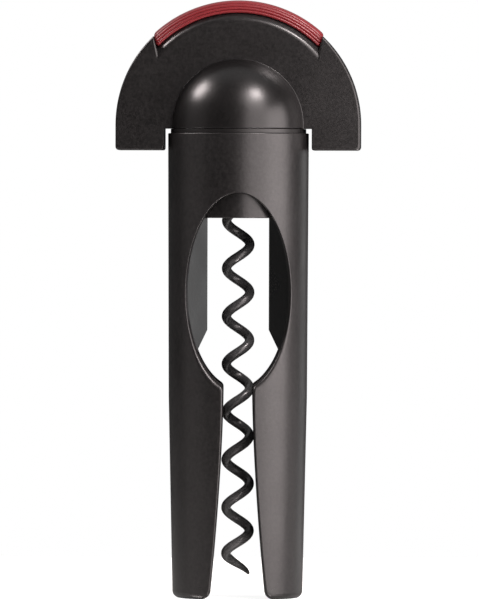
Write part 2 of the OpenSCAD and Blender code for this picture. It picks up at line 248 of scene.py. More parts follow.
# Glass-filled nylon moulded in a spark-eroded tool: near black, with an even grain and broad soft sheens.
# The real grain is finer than a pixel, so it is drawn at up to a millimetre, coarse enough to show.
def mouldedNylon(name, hexColour, paler, grain, grainDepth, roughness, ior=1.53):
    cloudSize, uneven = 14, 0.03  # slow changes of the sheen: their size in mm, and how far they go
    material, tree = newMaterial(name)
    place = addNode(tree, "ShaderNodeTexCoord").outputs["Object"]
    grainNoise = addNode(tree, "ShaderNodeTexNoise", [
        ("Vector", place), ("Scale", perMm(grain)), ("Detail", 3.0), ("Roughness", 0.6)])
    cloud = addNode(tree, "ShaderNodeTexNoise", [
        ("Vector", place), ("Scale", perMm(cloudSize)), ("Detail", 2.0)])
    shade = addNode(tree, "ShaderNodeMapRange", [
        ("Value", grainNoise.outputs["Fac"]), ("From Min", noiseLow), ("From Max", noiseHigh)])
    colour = addNode(tree, "ShaderNodeMix", [
        ("Factor", shade.outputs["Result"]), ("A", linear(hexColour)), ("B", linear(paler))],
        data_type="RGBA")
    rough = addNode(tree, "ShaderNodeMapRange", [
        ("Value", cloud.outputs["Fac"]), ("From Min", noiseLow), ("From Max", noiseHigh),
        ("To Min", roughness - uneven), ("To Max", roughness + uneven)])
    bump = addNode(tree, "ShaderNodeBump", [
        ("Height", grainNoise.outputs["Fac"]), ("Strength", 1.0), ("Distance", grainDepth * mm)])
    shader = addNode(tree, "ShaderNodeBsdfPrincipled", [
        ("Base Color", colour.outputs[2]), ("IOR", ior), ("Roughness", rough.outputs["Result"]),
        ("Normal", bump.outputs["Normal"])])
    addNode(tree, "ShaderNodeOutputMaterial", [("Surface", shader.outputs[0])])
    return material


# Thermoplastic elastomer, moulded with ribs: a saturated red with a soft, dusty sheen.
# Its skin is drawn at half a millimetre, coarser than the real one, so that it shows.
def mouldedElastomer(name, hexColour, darker):
    skinSize, skinDepth, cloudSize = 0.5, 0.005, 5
    material, tree = newMaterial(name)
    place = addNode(tree, "ShaderNodeTexCoord").outputs["Object"]
    skin = addNode(tree, "ShaderNodeTexNoise", [
        ("Vector", place), ("Scale", perMm(skinSize)), ("Detail", 3.0)])
    cloud = addNode(tree, "ShaderNodeTexNoise", [
        ("Vector", place), ("Scale", perMm(cloudSize)), ("Detail", 2.0)])
    colour = addNode(tree, "ShaderNodeMix", [
        ("Factor", cloud.outputs["Fac"]), ("A", linear(hexColour)), ("B", linear(darker))],
        data_type="RGBA")
    bump = addNode(tree, "ShaderNodeBump", [
        ("Height", skin.outputs["Fac"]), ("Strength", 0.5), ("Distance", skinDepth * mm)])
    shader = addNode(tree, "ShaderNodeBsdfPrincipled", [
        ("Base Color", colour.outputs[2]), ("IOR", 1.49), ("Roughness", 0.36),
        ("Normal", bump.outputs["Normal"])])
    addNode(tree, "ShaderNodeOutputMaterial", [("Surface", shader.outputs[0])])
    return material


# Fluoropolymer baked on steel wire: dark grey, with broken glints, and painted light towards the point: a
# paler colour there stands in for light that the lower worm lacks in the legs' shade.
# Its pebbled skin is drawn at 0.8 mm, coarser than the real one, so that it shows.
def bakedCoating(name, hexColour, paler, paintedLightColour, paintedLightZ):
    pebbleSize, pebbleDepth = 0.8, 0.05
    material, tree = newMaterial(name)
    place = addNode(tree, "ShaderNodeTexCoord").outputs["Object"]
    pebble = addNode(tree, "ShaderNodeTexNoise", [
        ("Vector", place), ("Scale", perMm(pebbleSize)), ("Detail", 3.0)])
    colour = addNode(tree, "ShaderNodeMix", [
        ("Factor", pebble.outputs["Fac"]), ("A", linear(hexColour)), ("B", linear(paler))],
        data_type="RGBA")
    height = addNode(tree, "ShaderNodeSeparateXYZ", [("Vector", place)])
    # Painted light: from the upper height down to the lower one the colour turns to the third, paler one
    paintedLightShare = addNode(tree, "ShaderNodeMapRange", [
        ("Value", height.outputs["Z"]), ("From Min", paintedLightZ[0] * mm), ("From Max", paintedLightZ[1] * mm),
        ("To Min", 1), ("To Max", 0)])
    colour = addNode(tree, "ShaderNodeMix", [
        ("Factor", paintedLightShare.outputs["Result"]), ("A", colour.outputs[2]), ("B", linear(paintedLightColour))],
        data_type="RGBA")
    rough = addNode(tree, "ShaderNodeMapRange", [
        ("Value", pebble.outputs["Fac"]), ("From Min", noiseLow), ("From Max", noiseHigh),
        ("To Min", 0.16), ("To Max", 0.32)])
    bump = addNode(tree, "ShaderNodeBump", [
        ("Height", pebble.outputs["Fac"]), ("Strength", 1.0), ("Distance", pebbleDepth * mm)])
    shader = addNode(tree, "ShaderNodeBsdfPrincipled", [
        ("Base Color", colour.outputs[2]), ("IOR", 1.5), ("Roughness", rough.outputs["Result"]),
        ("Normal", bump.outputs["Normal"])])
    addNode(tree, "ShaderNodeOutputMaterial", [("Surface", shader.outputs[0])])
    return material


# Free-cutting steel turned on a lathe: bright grey, with rings round the axis.
# The rings are drawn at 1.57 mm, coarser than real tool marks, so that they show.
def turnedSteel(name, hexColour):
    ringStep, ringDepth, cloudSize = 1.57, 0.01, 3
    waveLength = 2 * math.pi / 20  # a wave of scale 1 has one ring in this length
    material, tree = newMaterial(name)
    place = addNode(tree, "ShaderNodeTexCoord").outputs["Object"]
    rings = addNode(tree, "ShaderNodeTexWave", [
        ("Vector", place), ("Scale", perMm(ringStep) * waveLength), ("Distortion", 0.4), ("Detail", 2.0)],
        wave_type="BANDS", bands_direction="Z")
    cloud = addNode(tree, "ShaderNodeTexNoise", [
        ("Vector", place), ("Scale", perMm(cloudSize)), ("Detail", 2.0)])
    rough = addNode(tree, "ShaderNodeMapRange", [
        ("Value", cloud.outputs["Fac"]), ("To Min", 0.22), ("To Max", 0.36)])
    bump = addNode(tree, "ShaderNodeBump", [
        ("Height", rings.outputs["Fac"]), ("Strength", 0.5), ("Distance", ringDepth * mm)])
    shader = addNode(tree, "ShaderNodeBsdfPrincipled", [
        ("Base Color", linear(hexColour)), ("Metallic", 1.0), ("Roughness", rough.outputs["Result"]),
        ("Normal", bump.outputs["Normal"])])
    addNode(tree, "ShaderNodeOutputMaterial", [("Surface", shader.outputs[0])])
    return material


# Two colours of the grain, its size and depth in mm, the roughness and, where it differs, the IOR
frameNylon = mouldedNylon("satinMouldedNylon", "#060505", "#1d1c1c", 0.95, 0.024, 0.36)
guideNylon = mouldedNylon("guideMouldedNylon", "#060505", "#1d1c1c", 0.95, 0.02, 0.3)
plateNylon = mouldedNylon("sparkErodedNylon", "#050404", "#1d1c1c", 0.85, 0.016, 0.33)
domeNylon = mouldedNylon("polishedMouldedNylon", "#0a0909", "#141313", 0.8, 0.009, 0.305, 1.48)
# Acetal from a smoother tool: an almost even black on the ring, and its natural white on the pegs
ringAcetal = mouldedNylon("smoothMouldedAcetal", "#100f0f", "#131212", 0.4, 0.004, 0.38, 1.48)
pegAcetal = mouldedNylon("naturalMouldedAcetal", "#cbc8be", "#d2cfc6", 0.4, 0.006, 0.42)
gripRubber = mouldedElastomer("ribbedRedElastomer", "#761d22", "#6c191e")
# The worm's third colour, reached from 62 mm down to 8 mm, is painted light on the lower worm
wormCoating = bakedCoating("bakedWireCoating", "#2e2f30", "#434445", "#7b7d7e", paintedLightZ=(8, 62))
spindleSteel = turnedSteel("turnedSteel", "#b9b8b5")
print("materials made")


# Tube frame: one moulding with an oval window front and rear and a slot down to the feet

frameHigh = boxMm("tube_frame")[1]
tubeFrame = {
    "shoulderZ": frameHigh.z, "topR": frameHigh.x,
    "waistZ": 57, "waistR": 19.6, "footR": 18.4,
    "boreR": 17.4, "boreLowZ": 69.5, "footBoreR": 15.3,
    "windowInside": (14.2, 27.6, 87.0),     # half width, half height and height of the centre, at the bore
    "windowOutside": (14.85, 28.1, 86.6),   # the same at the outer wall: the cut face has some draft
    "slotTopHalf": 4, "slotFootHalf": 7.75, "slotCurve": 1.6, "slotTopZ": 59.4,
    "slotDraft": 0.35,         # how much wider the slot is at the outer wall than at the bore
    "legCorner": 2.4,          # rounding of each leg's lower corner beside the slot
    "slotHead": 0.9,           # rounding where the slot meets the window
    "windowEdge": [(0, 1.4), (0.22, 1.1), (0.45, 0.4), (1, 0.3)],   # rounding, from the slot to the top
    "slotEdge": 0.5, "footEdge": 2.0, "boreEdge": 0.35, "shoulderEdge": 0.3,
    "footRows": 16, "cornerRows": 7, "slotRows": 34, "headRows": 5, "windowRows": 64, "acrossRows": 15,
    "firstStep": 1.7,          # about how far from the edge each row's second point lies
    "reach": 0.45,             # share of a row's length over which it leaves the edge squarely
    "sideHeights": (9, 17, 20, 67, 92),         # where a few of the rows end on the side line
    "middleShare": 0.44, "cornerShare": 0.68,   # window rows that end at the last one and at the shoulder
    "halvings": 40, "angleStep": 0.002,         # how closely the slot's meeting with the window is found
    "rimBand": 0.1,            # an edge this near the shoulder's rims belongs to them
}


def frameOuterR(z):
    f = tubeFrame
    return stops([(0, f["footR"]), (f["waistZ"], f["waistR"]), (f["shoulderZ"], f["topR"])], z)


def frameInnerR(z):
    f = tubeFrame
    return stops([(0, f["footBoreR"]), (f["boreLowZ"], f["boreR"]), (f["shoulderZ"], f["boreR"])], z)


def slotHalf(z, widen):
    f = tubeFrame
    down = min(1, max(0, 1 - z / f["slotTopZ"]))
    return f["slotTopHalf"] + widen + (f["slotFootHalf"] - f["slotTopHalf"]) * down ** f["slotCurve"]


def openingEdge(window, widen):  # right half of the opening, from the foot up the slot and round the window
    f = tubeFrame
    halfW, halfH, centreZ = window

    def windowPoint(angle):
        return Vector((halfW * math.cos(angle), centreZ + halfH * math.sin(angle)))

    points = []
    for i in range(f["cornerRows"]):
        a = math.pi / 2 * i / f["cornerRows"]
        z = f["legCorner"] * (1 - math.cos(a))
        points.append(Vector((slotHalf(z, widen) + f["legCorner"] * (1 - math.sin(a)), z)))
    low, high = -math.pi / 2, 0  # angle where the window is as wide as the slot
    for i in range(f["halvings"]):
        middle = (low + high) / 2
        wide = windowPoint(middle)
        low, high = (middle, high) if wide.x < slotHalf(wide.y, widen) else (low, middle)
    corner = windowPoint(high)
    slotEnd = Vector((slotHalf(corner.y - f["slotHead"], widen), corner.y - f["slotHead"]))
    for i in range(f["slotRows"]):
        z = mix(f["legCorner"], slotEnd.y, i / f["slotRows"])
        points.append(Vector((slotHalf(z, widen), z)))
    startAngle = high
    while (windowPoint(startAngle) - corner).length < f["slotHead"]:
        startAngle += f["angleStep"]
    windowStart = windowPoint(startAngle)
    points += [bend(slotEnd, corner, windowStart, i / f["headRows"]) for i in range(f["headRows"])]
    for i in range(f["windowRows"] + 1):
        points.append(windowPoint(mix(startAngle, math.pi / 2, i / f["windowRows"])))
    points[-1].x = 0
    return points


def edgeOnWall(radiusAt, opening):  # free edge as (angle from the front, height), from the side of the foot
    f = tubeFrame
    start = math.asin(opening[0].x / radiusAt(0))
    edge = [(mix(math.pi / 2, start, i / f["footRows"]), 0) for i in range(f["footRows"])]
    return edge + [(math.asin(p.x / radiusAt(p.y)), p.y) for p in opening]


def wallRows(radiusAt, opening):  # rows of points from the free edge to the side line and the shoulder
    f = tubeFrame
    edge = edgeOnWall(radiusAt, opening)
    meanR = radiusAt(f["waistZ"])
    flat = [Vector((angle * meanR, z)) for angle, z in edge]
    footEnd = f["footRows"]
    slotStart = footEnd + f["cornerRows"]
    windowStart = slotStart + f["slotRows"] + f["headRows"]
    last = len(edge) - 1
    middleRow = mix(windowStart, last, f["middleShare"])
    cornerRow = round(mix(windowStart, last, f["cornerShare"]))
    rowsToSide = (0, footEnd, slotStart, windowStart, middleRow, cornerRow)
    sideZ = list(zip(rowsToSide, (*f["sideHeights"], f["shoulderZ"])))
    rows = []
    for i, point in enumerate(flat):
        along = (flat[min(i + 1, last)] - flat[max(i - 1, 0)]).normalized()
        if i in (0, last):
            along = Vector((-1, 0))
        inward = Vector((along.y, -along.x))
        if i <= cornerRow:
            far = Vector((math.pi / 2 * meanR, stops(sideZ, i)))
        else:
            far = Vector((math.pi / 2 * meanR * (last - i) / (last - cornerRow), f["shoulderZ"]))
        reach = (far - point).length * f["reach"]
        control = point + inward * reach
        first = f["firstStep"] / (2 * reach)
        line = []
        for j in range(f["acrossRows"] + 1):
            s = 0 if j == 0 else mix(first, 1, (j - 1) / (f["acrossRows"] - 1))
            p = bend(point, control, far, s)
            angle = p.x / meanR if j else edge[i][0]
            r = radiusAt(p.y)
            line.append((r * math.sin(angle), -r * math.cos(angle), p.y))
        rows.append(line)
    return rows


def makeTubeFrame():
    f = tubeFrame
    outer = wallRows(frameOuterR, openingEdge(f["windowOutside"], f["slotDraft"]))
    inner = wallRows(frameInnerR, openingEdge(f["windowInside"], 0))
    across = f["acrossRows"]
    rowCount = len(outer) - 1
    columns = 2 * across + 1

    def place(row, column):  # outer wall towards the edge, over the edge, and back along the bore
        x, y, z = outer[row][across - column] if column <= across else inner[row][column - across - 1]
        return (0 if abs(x) < near else x, 0 if abs(y) < near else y, z)

    piece = gridSheet("tubeFrame", rowCount, columns, place)
    slotStart = f["footRows"] + f["cornerRows"]
    slotEnd = slotStart + f["slotRows"]
    windowStart = slotEnd + f["headRows"]
    edgeStops = [(0, f["footEdge"]), (f["footRows"] - 1, f["footEdge"]),
                 (slotStart, f["slotEdge"]), (slotEnd, f["slotEdge"])]
    edgeStops += [(windowStart + f["windowRows"] * share, width) for share, width in f["windowEdge"]]
    widthOf = [stops(edgeStops, row) for row in range(rowCount)]
    weights = piece.data.attributes.new("edgeWidth", "FLOAT", "EDGE")
    line = columns + 1
    for edge in piece.data.edges:
        (rowA, colA), (rowB, colB) = (divmod(v, line) for v in edge.vertices)
        if colA == colB == across:
            weights.data[edge.index].value = widthOf[min(rowA, rowB)]
        if colA == colB == across + 1:
            weights.data[edge.index].value = f["boreEdge"]
    applyModifier(piece, "MIRROR", use_axis=(True, True, False), merge_threshold=seamGap * mm)
    bpy.ops.object.mode_set(mode="EDIT")
    bpy.ops.mesh.select_mode(type="EDGE")
    bpy.ops.mesh.select_all(action="DESELECT")
    bpy.ops.object.mode_set(mode="OBJECT")
    top = (f["shoulderZ"] - near) * mm
    for edge in piece.data.edges:
        edge.select = all(piece.data.vertices[v].co.z > top for v in edge.vertices)
    bpy.ops.object.mode_set(mode="EDIT")
    bpy.ops.mesh.bridge_edge_loops()  # the shoulder, from the outer wall to the bore
    bpy.ops.object.mode_set(mode="OBJECT")
    piece = joinUp([piece], "tubeFrame")
    marked = [d.value for d in piece.data.attributes["edgeWidth"].data]
    piece.data.attributes.remove(piece.data.attributes["edgeWidth"])

    def rounding(a, b, index):
        if min(a.z, b.z) > f["shoulderZ"] - near:
            flatA, flatB = a.to_2d().length, b.to_2d().length
            if min(flatA, flatB) > f["topR"] - f["rimBand"]:
                return f["shoulderEdge"]
            return f["boreEdge"] if max(flatA, flatB) < f["boreR"] + f["rimBand"] else 0
        return marked[index]

    bevelBy(piece, rounding, segments=5)
    smoothFaces(piece)
    finishPiece(piece, "frame", frameNylon, "tube_frame")


makeTubeFrame()


# Guide sleeve: a plug in the tube's top with a skirt round the cork's chamber

guideLow, guideHigh = boxMm("guide_sleeve")
guideSleeve = {
    "outerR": guideHigh.x, "topZ": guideHigh.z, "skirtEndZ": guideLow.z,
    "wall": 2.5, "floorZ": 107.6, "deckZ": 131.5, "bearingR": 8, "boreR": 5.08,
    "skirtFront": 2, "rearHalf": 8.75, "flareH": 6.2, "flare": 3, "overlap": 3,
    "skirtInset": 0.03,        # keeps the skirt's outer face just inside the plug's
    "rowBelowFloor": 6,        # a row of points on the skirt, this far below the plug's floor
    "skirtEdge": 0.4, "plugEdge": 0.35, "boreEdge": 0.3, "deckEdge": 0.3, "bearingEdge": 0.25,
    "arcColumns": 20,
}


def makeGuideSleeve():
    g = guideSleeve
    plug = spunPiece("guidePlug", roundCorners([
        (g["boreR"], g["floorZ"], g["boreEdge"]), (g["outerR"], g["floorZ"], g["plugEdge"]),
        (g["outerR"], g["deckZ"], g["deckEdge"]), (g["bearingR"], g["deckZ"], 0),
        (g["bearingR"], g["topZ"], g["bearingEdge"]), (g["boreR"], g["topZ"], g["bearingEdge"])]))
    skirtOuter = g["outerR"] - g["skirtInset"]
    skirtInner = g["outerR"] - g["wall"]
    # Front and rear ends of the flat inner wall
    wallFront = Vector((math.sqrt(skirtInner ** 2 - g["skirtFront"] ** 2), -g["skirtFront"]))
    wallRear = Vector((g["rearHalf"], math.sqrt(skirtInner ** 2 - g["rearHalf"] ** 2)))
    heights = [g["skirtEndZ"], g["skirtEndZ"] + g["flareH"], g["floorZ"] - g["rowBelowFloor"],
               g["floorZ"] + g["overlap"]]
    columns = 2 * g["arcColumns"] + 2

    def place(row, column):
        z = heights[row]
        rear = g["rearHalf"] + g["flare"] * max(0, 1 - (z - g["skirtEndZ"]) / g["flareH"])
        column = column % columns
        if column <= g["arcColumns"]:
            start, end = math.acos(g["skirtFront"] / skirtOuter), math.pi - math.asin(rear / skirtOuter)
            angle = mix(start, end, column / g["arcColumns"])
            return (skirtOuter * math.sin(angle), -skirtOuter * math.cos(angle), z)
        share = 1 - (column - g["arcColumns"] - 1) / g["arcColumns"]
        share *= (wallFront.x - rear) / (wallFront.x - wallRear.x)
        return (*wallFront.lerp(wallRear, share), z)

    skirt = gridSheet("guideSkirt", len(heights) - 1, columns, place)
    caps = [flatFace("skirtCap", [place(row, c) for c in range(columns)]) for row in (0, len(heights) - 1)]
    skirt = joinUp([skirt] + caps, "guideSkirt")
    cornerColumns = (0, g["arcColumns"], g["arcColumns"] + 1, columns - 1)
    corners = [Vector(place(1, column)[:2]) for column in cornerColumns]

    def rounding(a, b, index):
        if max(a.z, b.z) < g["skirtEndZ"] + near:
            return g["skirtEdge"]
        upright = abs(a.z - b.z) > near
        onCorner = any((end.to_2d() - corner).length < near for end in (a, b) for corner in corners)
        return g["skirtEdge"] if upright and onCorner else 0

    bevelBy(skirt, rounding, segments=3)
    activate(skirt)
    bpy.ops.object.duplicate()
    other = bpy.context.active_object
    bpy.ops.transform.resize(value=(-1, 1, 1), center_override=(0, 0, 0))
    bpy.ops.object.transform_apply(location=True, rotation=True, scale=True)
    skirt = joinUp([skirt], "guideSkirt")
    other = joinUp([other], "guideSkirtLeft")
    for half in (skirt, other):
        applyModifier(plug, "BOOLEAN", operation="UNION", solver="EXACT", object=half)
        bpy.data.objects.remove(half)
    plug.name = "guideSleeve"
    smoothFaces(plug)
    finishPiece(plug, "frame", guideNylon, "guide_sleeve")


makeGuideSleeve()


# Thrust ring: a flat washer between the shoulder and the hub

ringLow, ringHigh = boxMm("thrust_ring")
thrustRing = {"outerR": ringHigh.x, "boreR": 8.3, "lowZ": ringLow.z, "highZ": ringHigh.z, "edge": 0.08}


def makeThrustRing():
    r = thrustRing
    piece = spunPiece("thrustRing", roundCorners([
        (r["boreR"], r["lowZ"], r["edge"]), (r["outerR"], r["lowZ"], r["edge"]),
        (r["outerR"], r["highZ"], r["edge"]), (r["boreR"], r["highZ"], r["edge"])]))
    smoothFaces(piece)
    finishPiece(piece, "ring", ringAcetal, "thrust_ring")


makeThrustRing()


# Handle: two shells that meet in the plate's middle, each with half of the domed hub

handle = {
    "hubZ": 134, "turn": -2.5, "half": 5.75, "radius": 34.65, "hubR": 19.4, "hubBase": 1.1, "wingLow": 7.25,
    "notch": 20.95, "seatR": 31.3,
    "scoopLowR": 29.15, "scoopHighR": 31.75, "scoopTilt": 46, "scoopLip": 1.8,
    "scoopUnder": 0.2,         # how much deeper than the scoop's top the grip's seat begins
    "recessHalf": 22.9, "recessSlope": 17,
    "rimEdge": 0.6, "recessEdge": (0.35, 1.0),   # the recess's ends are rounder at the scoop
    "partingEdge": 0.22, "notchEdge": 0.2, "wingCorner": 0.9, "notchCorner": 0.55,
    "hubEdge": 0.3, "hubEdgeFrom": 0.3,          # rounding under the dome, and its start off the plate
    "domeFillet": 0.15,
    "domeFrom": 0.02, "domeBand": 0.4,           # distances that tell the dome's faces from the plate's
    "rimColumns": 20, "endColumns": 4, "scoopColumns": 44, "edgeRows": 7,
    "domeColumns": 72, "domeRows": 26, "filletRows": 5,
}


def recessEnd(radius, out=0):  # angle from the top where a circle about the hub meets the recess's end face
    h = handle
    slope = math.radians(h["recessSlope"])
    seatZ = math.sqrt(h["seatR"] ** 2 - h["recessHalf"] ** 2)
    fromHub = (h["recessHalf"] - seatZ * math.tan(slope)) * math.cos(slope) + out
    return math.asin(fromHub / radius) + slope


def roundedOff(depth, size):  # how far a rounded edge lies inside its corner at a depth below the face
    left = max(0, size - depth)
    return size - math.sqrt(size ** 2 - left ** 2)


def scoopStations():  # depth below the face and radius, over the scoop's round lip and up to the grip
    h = handle
    tilt = math.radians(h["scoopTilt"])
    found = []
    for i in range(h["edgeRows"] + 1):
        a = tilt * i / h["edgeRows"]
        found.append((h["scoopLip"] * (1 - math.cos(a)), h["scoopLowR"] + h["scoopLip"] * math.sin(a)))
    depth, r = found[-1]
    rise = h["scoopHighR"] - r
    found += [(depth + rise * share * math.tan(tilt), r + rise * share) for share in (0.5, 1)]
    return found + [(found[-1][0] + h["scoopUnder"], h["seatR"]), (h["half"], h["seatR"])]


def rimDepths(rows):  # depth of the same rows at the plain rim, close together where its edge is rounded
    h = handle
    found = []
    for i in range(rows):
        if i <= h["edgeRows"]:
            found.append(h["rimEdge"] * (1 - math.cos(math.pi / 2 * i / h["edgeRows"])))
        else:
            found.append(mix(h["rimEdge"], h["half"], (i - h["edgeRows"]) / (rows - 1 - h["edgeRows"])))
    return found


def plateOutline(rimDepth, scoopDepth, scoopRadius):  # points from the right of the notch round to its left
    h = handle
    rimIn = roundedOff(rimDepth, h["rimEdge"])
    rimR, wingZ = h["radius"] - rimIn, rimIn - h["wingLow"]
    notchX = h["notch"] + roundedOff(rimDepth, h["notchEdge"])
    right = [(notchX, -h["hubBase"]), (notchX, wingZ), (rimR, wingZ)]
    depths = [rimDepth] * len(right)
    rimEnd = recessEnd(rimR, roundedOff(rimDepth, h["recessEdge"][0]))
    for i in range(h["rimColumns"]):
        a = mix(math.pi / 2, rimEnd, i / h["rimColumns"])
        right.append((rimR * math.sin(a), rimR * math.cos(a)))
        depths.append(rimDepth)
    for i in range(h["endColumns"]):
        share = i / h["endColumns"]
        depths.append(mix(rimDepth, scoopDepth, share))
        r = mix(rimR, scoopRadius, share)
        a = recessEnd(r, roundedOff(depths[-1], mix(*h["recessEdge"], share)))
        right.append((r * math.sin(a), r * math.cos(a)))
    scoopEnd = recessEnd(scoopRadius, roundedOff(scoopDepth, h["recessEdge"][1]))
    for i in range(h["scoopColumns"]):
        a = mix(scoopEnd, 0, i / h["scoopColumns"])
        right.append((scoopRadius * math.sin(a), scoopRadius * math.cos(a)))
        depths.append(scoopDepth)
    outline = [(x, depth, z) for (x, z), depth in zip(right, depths)]
    return outline + [(0, scoopDepth, scoopRadius)] + [(-x, depth, z) for x, depth, z in reversed(outline)]


def domeProfile():  # radius and distance from the plate's middle, over a small fillet to the dome's front
    h = handle
    joinR = math.sqrt(h["hubR"] ** 2 - h["half"] ** 2)
    startR = joinR + h["domeFillet"]
    onDome = h["half"] + h["domeFillet"]
    endR = math.sqrt(h["hubR"] ** 2 - onDome ** 2)
    profile = []
    for i in range(h["filletRows"]):
        t = i / h["filletRows"]
        profile.append((bend(startR, joinR, endR, t), bend(h["half"], h["half"], onDome, t)))
    first = math.asin(endR / h["hubR"])
    for i in range(h["domeRows"] + 1):
        a = first * (1 - i / h["domeRows"])
        profile.append((h["hubR"] * math.sin(a), h["hubR"] * math.cos(a)))
    return profile


def toHandle(piece):  # from the handle's own axes to its place on the frame
    turn = Matrix.Rotation(math.radians(handle["turn"]), 4, "Z")
    piece.data.transform(Matrix.Translation((0, 0, handle["hubZ"] * mm)) @ turn)


def makeHandleShell(name, side, node):
    h = handle
    stations = scoopStations()
    outlines = [plateOutline(depth, *station) for depth, station in zip(rimDepths(len(stations)), stations)]
    profile = [(r, side * y) for r, y in domeProfile()]
    chain = profile + [(-r, y) for r, y in reversed(profile[:-1])]  # the hub's section, from right to left

    def rimPlace(row, column):
        x, depth, z = outlines[row][column]
        return (x, side * (h["half"] - depth), z)

    def domePlace(row, column):
        a = math.pi * column / h["domeColumns"]
        r, y = profile[row]
        return (r * math.cos(a), y, r * math.sin(a))

    def basePlace(row, column):
        x, y = chain[column]
        return (x, y, -h["hubBase"] * row)

    lastColumn = len(outlines[0]) - 1
    rim = gridSheet("rim", len(outlines) - 1, lastColumn, rimPlace)
    dome = gridSheet("dome", len(profile) - 1, h["domeColumns"], domePlace)
    base = gridSheet("base", 1, len(chain) - 1, basePlace)
    faceLoop = [rimPlace(0, column) for column in range(lastColumn + 1)]
    faceLoop.append(basePlace(1, len(chain) - 1))
    faceLoop += [domePlace(0, column) for column in reversed(range(h["domeColumns"] + 1))]
    faceLoop.append(basePlace(1, 0))
    face = flatFace("face", faceLoop)
    under = [basePlace(1, column) for column in range(len(chain))]
    under += [rimPlace(row, lastColumn) for row in range(len(outlines))]
    under += [rimPlace(row, 0) for row in reversed(range(len(outlines)))]
    floor = flatFace("floor", under)
    parting = flatFace("parting", [rimPlace(len(outlines) - 1, column) for column in range(lastColumn + 1)])
    shell = joinUp([rim, dome, base, face, floor, parting], name)

    def rounding(a, b, index):
        flatA, flatB = Vector((a.x, a.z)), Vector((b.x, b.z))
        if max(abs(a.y), abs(b.y)) < near:  # the line where the two shells meet
            level = max(a.z, b.z) < -h["hubBase"] + near and max(abs(a.x), abs(b.x)) <= h["notch"] + near
            return 0 if level and abs(a.z - b.z) < near else h["partingEdge"]
        through = abs(a.y - b.y) > near and (flatA - flatB).length < h["rimEdge"]
        if through and max(a.z, b.z) < -h["wingLow"] + h["rimEdge"] + near:
            return h["wingCorner"] if abs(a.x) > (h["notch"] + h["radius"]) / 2 else h["notchCorner"]
        onBase = max(abs(a.z + h["hubBase"]), abs(b.z + h["hubBase"])) < near
        onDome = min(abs(a.y), abs(b.y)) > h["half"] + h["hubEdgeFrom"]
        return h["hubEdge"] if onBase and onDome else 0

    bevelBy(shell, rounding, segments=3)
    smoothFaces(shell)
    domeFaces = []
    for polygon in shell.data.polygons:
        centre = polygon.center / mm
        offPlate = abs(centre.y) > h["half"] + h["domeFrom"]
        domeFaces.append(offPlate and abs(centre.length - h["hubR"]) < h["domeBand"])
    toHandle(shell)
    finishPiece(shell, "handle", plateNylon, node)
    shell.data.materials.append(domeNylon)
    for polygon, isDome in zip(shell.data.polygons, domeFaces):
        polygon.material_index = 1 if isDome else 0


makeHandleShell("handleFrontShell", -1, "handle_front_shell")
makeHandleShell("handleRearShell", 1, "handle_rear_shell")


# Grip: a ribbed strip set into the rim

grip = {
    "centreR": 30.7, "sectionR": 4.6, "flankLowR": 31.8, "footHalf": 2.3, "sink": 0.1,
    "deep": 1.1,               # stretches the round section from front to back
    "ribs": 3, "ribStep": 0.87, "ribDepth": 0.5, "ribPoints": 10, "crownPoints": 30,
    "ribPower": 2, "crownPower": 10,   # how squarely each rib ends, and the smooth crown above them
    "endGap": 0.1, "endBack": 0.9, "endOuter": 0.55, "endLower": 1.1, "endSide": 0.8,
    "endRows": 6, "arcRows": 90,
}


def gripSection():  # radius and depth over the ribs, the crown and the lip, and then of the foot's corners
    g = grip
    coreR = g["sectionR"] - g["ribDepth"]
    heights = [g["flankLowR"] + g["ribStep"] * k - g["centreR"] for k in range(g["ribs"] + 1)]
    limits = [math.acos(height / g["sectionR"]) for height in heights]
    ribs = list(zip(limits, limits[1:]))
    bands = [(-low, -high, g["ribPoints"], g["ribPower"]) for low, high in ribs]
    bands.append((-limits[-1], limits[-1], g["crownPoints"], g["crownPower"]))
    bands += [(high, low, g["ribPoints"], g["ribPower"]) for low, high in reversed(ribs)]
    top = []
    for first, last, count, power in bands:
        for i in range(count):
            share = math.sin(math.pi * (i / count - 0.5))
            angle = mix(first, last, (share + 1) / 2)
            r = coreR + g["ribDepth"] * math.sqrt(1 - abs(share) ** power)
            top.append((g["centreR"] + r * math.cos(angle), r * math.sin(angle) * g["deep"]))
    lipR, lipHalf = g["centreR"] + coreR * math.cos(limits[0]), coreR * math.sin(limits[0]) * g["deep"]
    top.append((lipR, lipHalf))
    low, half = handle["seatR"] - g["sink"], g["footHalf"]
    return top, [(lipR, half), (low, half), (low, -half), (lipR, -half)]


